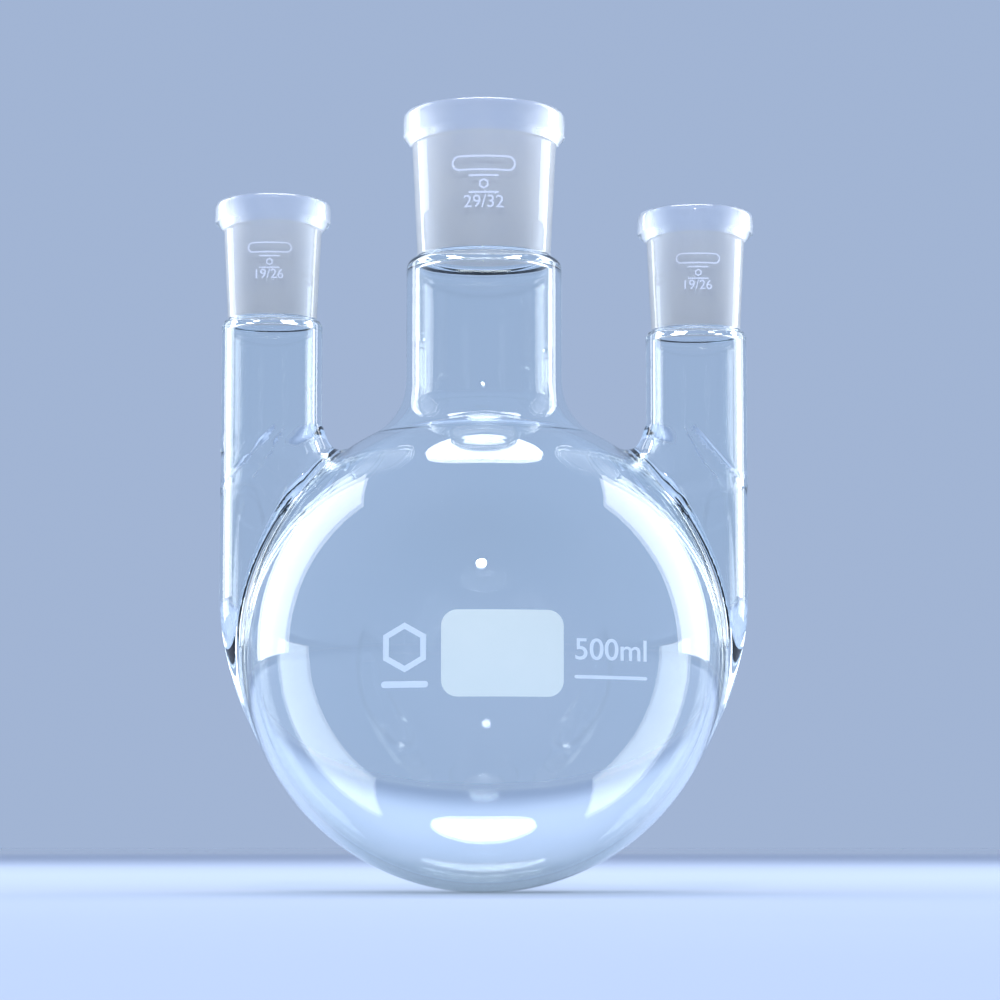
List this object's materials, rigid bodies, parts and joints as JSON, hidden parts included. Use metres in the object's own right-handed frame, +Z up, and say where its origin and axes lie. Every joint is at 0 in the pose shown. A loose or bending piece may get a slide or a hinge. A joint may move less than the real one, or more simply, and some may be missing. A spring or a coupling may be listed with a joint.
{
  "type": "three-neck round bottom flask",
  "caption": "Ball-shaped laboratory flask of borosilicate glass with a wide centre neck, parallel side necks and ground-glass sockets, for heating and mixing liquids.",
  "frame": {"origin": "lowest point of the ball, on the centre neck's axis, which is the bottom centre of the bounding box", "axes": "+Z up along the centre neck, towards its rim; +X from the left side neck to the right one; the marking faces -Y"},
  "size_m": [0.1182, 0.1051, 0.1708],
  "materials": {
    "clear_glass": "clear, fire polished",
    "ground_glass": "clear outside, ground to a fine frost inside",
    "enamel": "fired white enamel, satin",
    "print": "fired white enamel, satin",
    "etching": "white etched numbers"
  },
  "bodies": {
    "root": {"bulb": "clear_glass", "centre_neck": "clear_glass", "left_foot": "clear_glass", "right_foot": "clear_glass", "left_neck": "clear_glass", "right_neck": "clear_glass", "centre_socket": "ground_glass", "left_socket": "ground_glass", "right_socket": "ground_glass", "marking_field": "enamel", "capacity_print": "print", "plain_mark": "print", "centre_size_print": "etching", "left_size_print": "etching", "right_size_print": "etching"}
  },
  "joints": []
}
